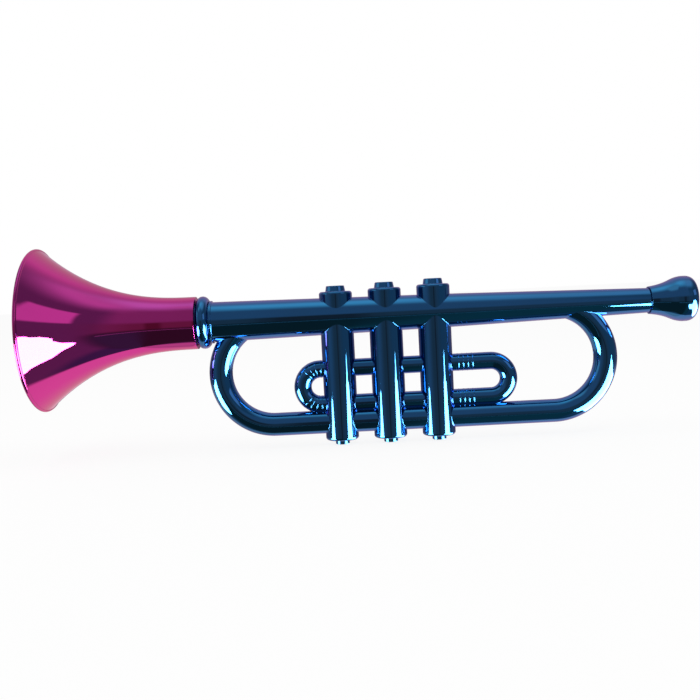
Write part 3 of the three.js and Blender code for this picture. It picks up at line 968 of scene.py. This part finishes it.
class TRUMPET_OT_bell(Operator):
    """Makes the flared bell with its rolled rim, and the neck that grips the pipe"""

    bl_idname = "trumpet.bell"
    bl_label = "Make Bell"

    def execute(self, context):
        scene = context.scene
        bell = scene.trumpet_bell
        pipe = scene.trumpet_pipe
        outside = bell_outside(scene)
        socket_radius = pipe.bell_radius + pipe.clearance
        socket_end = BODY_LOW.x - pipe.clearance
        inside = [point for point in inset(outside, bell.wall) if point[0] < socket_end - bell.wall]
        neck_radius = outside[0][1]
        lip = bell.lip_width / 2
        turns = even_turns(-pi / 2, pi / 2, LIP_STEPS)[1:]
        bevel = bell.edge * NECK_BEVEL_SHARE
        profile = [
            (BELL_HIGH.x, neck_radius - bell.edge),
            (BELL_HIGH.x - bevel, neck_radius - bevel),
            *outside[1:],
            *[(BELL_LOW.x + lip - lip * sin(turn), BELL_RADIUS - lip + lip * cos(turn))
              for turn in turns],
            (BELL_LOW.x, inside[-1][1] + bell.edge),
            *reversed(inside),
            (socket_end, neck_radius - bell.wall),
            (socket_end, socket_radius),
            (BELL_HIGH.x, socket_radius),
        ]
        material = metallised_plastic("magenta_lacquered_metallised_plastic", scene.trumpet_finishes.magenta)
        show_turned("bell_flare", profile, BELL_SIDES, "magenta_metallised", material, "bell")
        return {"FINISHED"}


class TRUMPET_OT_collar(Operator):
    """Makes the round collar ring between bell and pipe"""

    bl_idname = "trumpet.collar"
    bl_label = "Make Collar"

    def execute(self, context):
        pipe = context.scene.trumpet_pipe
        bore = pipe.bell_radius + pipe.clearance
        half = (COLLAR_HIGH.x - COLLAR_LOW.x) / 2
        middle = COLLAR_LOW.x + half
        height = (COLLAR_HIGH.z - COLLAR_LOW.z) / 2 - bore
        turns = even_turns(0, pi, BEAD_STEPS)
        profile = [(middle - half * cos(turn), bore + height * sin(turn)) for turn in turns]
        material = bpy.data.materials[BLUE_FINISH]
        show_turned("collar", profile, PIPE_SIDES, "blue_metallised", material, "collar_ring")
        return {"FINISHED"}


class TRUMPET_OT_mouthpiece(Operator):
    """Makes the mouthpiece with its sleeve, bulb and cup"""

    bl_idname = "trumpet.mouthpiece"
    bl_label = "Make Mouthpiece"

    # Distance from the sleeve as a share of the length, growth of the radius as a share of the whole
    BULB_SHARES = (
        (0, 0), (0.19, 0.17), (0.28, 0.285), (0.36, 0.42), (0.45, 0.61), (0.54, 0.805), (0.63, 0.933),
        (0.72, 1), (0.81, 1), (0.9, 0.888), (0.964, 0.618), (1, 0.236),
    )

    def execute(self, context):
        pipe = context.scene.trumpet_pipe
        mouth = context.scene.trumpet_mouthpiece
        low_x, high_x = MOUTHPIECE_LOW.x, MOUTHPIECE_HIGH.x
        bulb = (MOUTHPIECE_HIGH.z - MOUTHPIECE_LOW.z) / 2
        socket = pipe.mouth_radius - pipe.tenon_step + pipe.clearance
        sleeve = socket + mouth.sleeve_wall
        outside = smoothed([
            (low_x + along * (high_x - low_x), sleeve + grown * (bulb - sleeve))
            for along, grown in self.BULB_SHARES
        ])
        hollow = mouth.cup_radius - mouth.throat_radius
        turns = even_turns(0, pi / 2, BOWL_STEPS)
        socket_end = BODY_HIGH.x + pipe.clearance
        chamber_end = high_x - mouth.cup_depth - mouth.throat_length
        profile = [
            *[(along, min(radius, bulb)) for along, radius in outside],
            *[(high_x - mouth.cup_depth * sin(turn), mouth.throat_radius + hollow * cos(turn))
              for turn in turns],
            (chamber_end, mouth.throat_radius),
            (chamber_end, mouth.chamber_radius),
            (socket_end, mouth.chamber_radius),
            (socket_end, socket),
            (low_x, socket),
        ]
        material = bpy.data.materials[BLUE_FINISH]
        show_turned("mouthpiece_bulb", profile, MOUTHPIECE_SIDES, "blue_metallised", material, "mouthpiece")
        return {"FINISHED"}


class TRUMPET_OT_reed(Operator):
    """Finishes the squeaker reed: block, clamp ring and tongue"""

    bl_idname = "trumpet.reed"
    bl_label = "Finish Reed"

    def execute(self, context):
        finishes = context.scene.trumpet_finishes
        ivory = ivory_plastic("ivory_moulded_polystyrene", finishes.ivory)
        amber = amber_film("amber_polyester_film", finishes.amber)
        for name, material in (("reed_block", ivory), ("reed_clamp", ivory), ("reed_tongue", amber)):
            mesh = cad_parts[name].data
            mesh.materials.clear()
            mesh.materials.append(material)
        return {"FINISHED"}


def make_camera(scene):
    """The camera at the place and with the lens that were fitted to the photo."""
    studio = scene.trumpet_studio
    data = bpy.data.cameras.new("camera")
    data.sensor_width = SENSOR_WIDTH
    data.lens = studio.lens
    camera = add_object("camera", data)
    place = Vector((studio.camera_x, -studio.distance, studio.camera_height))
    aim = Vector((studio.aim_x, 0, studio.aim_height))
    look = (aim - place).to_track_quat("-Z", "Y").to_matrix().to_4x4()
    camera.matrix_world = Matrix.Translation(place) @ look @ Matrix.Rotation(studio.roll, 4, "Z")
    scene.camera = camera


def make_floor():
    """A sheet of white paper. To the camera it glows a little, so it is white and its shadow is faint."""
    mesh = bpy.data.meshes.new("floor")
    corners = [(x * FLOOR_REACH, y * FLOOR_REACH, 0) for x, y in ((-1, -1), (1, -1), (1, 1), (-1, 1))]
    mesh.from_pydata(corners, [], [(0, 1, 2, 3)])
    floor = add_object("floor", mesh)
    floor.visible_glossy = False
    material, tree = new_material("white_paper_floor")
    paper = add_node(tree, "ShaderNodeBsdfDiffuse", {"Color": (*linear("#F4F4F4"), 1)})
    glow = add_node(tree, "ShaderNodeEmission", {"Color": (1, 1, 1, 1), "Strength": 1.0})
    path = add_node(tree, "ShaderNodeLightPath")
    add_surface(tree, "ShaderNodeMixShader", {
        "Fac": maths(tree, "MULTIPLY", path.outputs["Is Camera Ray"], FLOOR_WHITE_SHARE),
        1: paper.outputs["BSDF"], 2: glow.outputs["Emission"],
    })
    mesh.materials.append(material)


def make_lamp(scene):
    """A large soft lamp overhead, which gives the floor its shadow."""
    data = bpy.data.lights.new("overhead_lamp", "AREA")
    data.shape = "SQUARE"
    data.size = LAMP_SIZE
    data.energy = scene.trumpet_studio.lamp_power
    lamp = add_object("overhead_lamp", data)
    lamp.location = (0, -LAMP_FORWARD, LAMP_HEIGHT)
    lamp.rotation_euler = (-atan2(LAMP_FORWARD, LAMP_HEIGHT), 0, 0)
    lamp.visible_glossy = False


def make_umbrellas(scene):
    """The two white umbrellas whose reflections run along the valves and bends."""
    material, tree = new_material("umbrella_lit_white")
    strength = scene.trumpet_studio.umbrella_glow
    add_surface(tree, "ShaderNodeEmission", {"Color": (1, 1, 1, 1), "Strength": strength})
    toy = Vector((middle_valve_x(scene), 0, UMBRELLAS_FACE_HEIGHT))
    for name, centre, scale, outline in UMBRELLAS:
        centre = Vector(centre) * MM
        scale *= MM
        ahead = (centre - toy).normalized()
        across = Vector((-ahead.y, ahead.x, 0)).normalized()
        upwards = ahead.cross(across)
        mesh = bpy.data.meshes.new(name)
        rim = [tuple(centre + across * (u * scale) + upwards * (v * scale)) for u, v in outline]
        mesh.from_pydata(rim, [], [tuple(range(len(rim)))])
        mesh.materials.append(material)
        umbrella = add_object(name, mesh)
        for rays in ("visible_camera", "visible_diffuse", "visible_transmission", "visible_shadow"):
            setattr(umbrella, rays, False)


def make_world(scene):
    """White all round, apart from what the metal shows of the room, which ROOM_PARTS lists."""
    scene.world = bpy.data.worlds.new("studio")
    scene.world.use_nodes = True
    tree = scene.world.node_tree
    tree.nodes.clear()
    ray = add_node(tree, "ShaderNodeTexCoord").outputs["Generated"]
    parts = add_node(tree, "ShaderNodeSeparateXYZ", {"Vector": ray}).outputs
    turn = maths(tree, "ARCTAN2", parts["X"], maths(tree, "MULTIPLY", parts["Y"], -1.0))
    azimuth = maths(tree, "DEGREES", turn)
    elevation = maths(tree, "DEGREES", maths(tree, "ARCSINE", parts["Z"]))
    room = ROOM_GLOW
    for _, sides, levels, (side_edge, level_edge), glow in ROOM_PARTS:
        across = within(tree, azimuth, sides, side_edge)
        upwards = within(tree, elevation, levels, level_edge)
        room = mixed(tree, maths(tree, "MULTIPLY", across, upwards), room, glow)
    seen_in_metal = add_node(tree, "ShaderNodeBackground", {"Color": room, "Strength": 1.0})
    path = add_node(tree, "ShaderNodeLightPath").outputs
    plain = add_node(tree, "ShaderNodeMapRange", {
        "Value": path["Is Diffuse Ray"], "To Min": 1.0, "To Max": scene.trumpet_studio.fill,
    })
    white = add_node(tree, "ShaderNodeBackground", {
        "Color": (1, 1, 1, 1), "Strength": plain.outputs["Result"],
    })
    both = add_node(tree, "ShaderNodeMixShader", {
        "Fac": path["Is Glossy Ray"], 1: white.outputs["Background"],
        2: seen_in_metal.outputs["Background"],
    })
    add_node(tree, "ShaderNodeOutputWorld", {"Surface": both.outputs["Shader"]})


def within(tree, angle, limits, edge):
    """One where an angle in degrees is between two limits, falling to zero over a soft edge."""
    low, high = limits
    half = (high - low) / 2
    if half >= HALF_TURN:
        return 1.0
    offset = maths(tree, "SUBTRACT", angle, (low + high) / 2)
    wrapped = maths(tree, "WRAP", offset, HALF_TURN, -HALF_TURN)
    inside = add_node(tree, "ShaderNodeMapRange", {
        "Value": maths(tree, "ABSOLUTE", wrapped),
        "From Min": half + edge / 2, "From Max": half - edge / 2,
    }, interpolation_type="SMOOTHSTEP")
    return inside.outputs["Result"]


class TRUMPET_OT_studio(Operator):
    """Sets the floor, the light and the camera"""

    bl_idname = "trumpet.studio"
    bl_label = "Set Studio"

    def execute(self, context):
        scene = context.scene
        scene.view_settings.view_transform = "Standard"
        make_camera(scene)
        make_floor()
        make_lamp(scene)
        make_umbrellas(scene)
        make_world(scene)
        return {"FINISHED"}


class TRUMPET_PT_panel(Panel):
    """Lists the steps in the sidebar"""

    bl_idname = "TRUMPET_PT_panel"
    bl_label = "Toy Trumpet"
    bl_space_type = "VIEW_3D"
    bl_region_type = "UI"
    bl_category = "Trumpet"

    def draw(self, context):
        for operator in OPERATORS:
            self.layout.operator(operator.bl_idname)


GROUPS = {
    "trumpet_pipe": TrumpetPipeSizes,
    "trumpet_valves": TrumpetValveSizes,
    "trumpet_loops": TrumpetLoopSizes,
    "trumpet_bell": TrumpetBellSizes,
    "trumpet_mouthpiece": TrumpetMouthpieceSizes,
    "trumpet_finishes": TrumpetFinishes,
    "trumpet_studio": TrumpetStudio,
}
OPERATORS = (
    TRUMPET_OT_body, TRUMPET_OT_bell, TRUMPET_OT_collar,
    TRUMPET_OT_mouthpiece, TRUMPET_OT_reed, TRUMPET_OT_studio,
)
CLASSES = (*GROUPS.values(), *OPERATORS, TRUMPET_PT_panel)


def register():
    for kind in CLASSES:
        bpy.utils.register_class(kind)
    for name, group in GROUPS.items():
        setattr(bpy.types.Scene, name, PointerProperty(type=group))


def unregister():
    for name in GROUPS:
        delattr(bpy.types.Scene, name)
    for kind in reversed(CLASSES):
        bpy.utils.unregister_class(kind)


def main():
    register()
    bpy.ops.trumpet.body()
    bpy.ops.trumpet.bell()
    bpy.ops.trumpet.collar()
    bpy.ops.trumpet.mouthpiece()
    bpy.ops.trumpet.reed()
    bpy.ops.trumpet.studio()


if __name__ == "__main__":
    main()
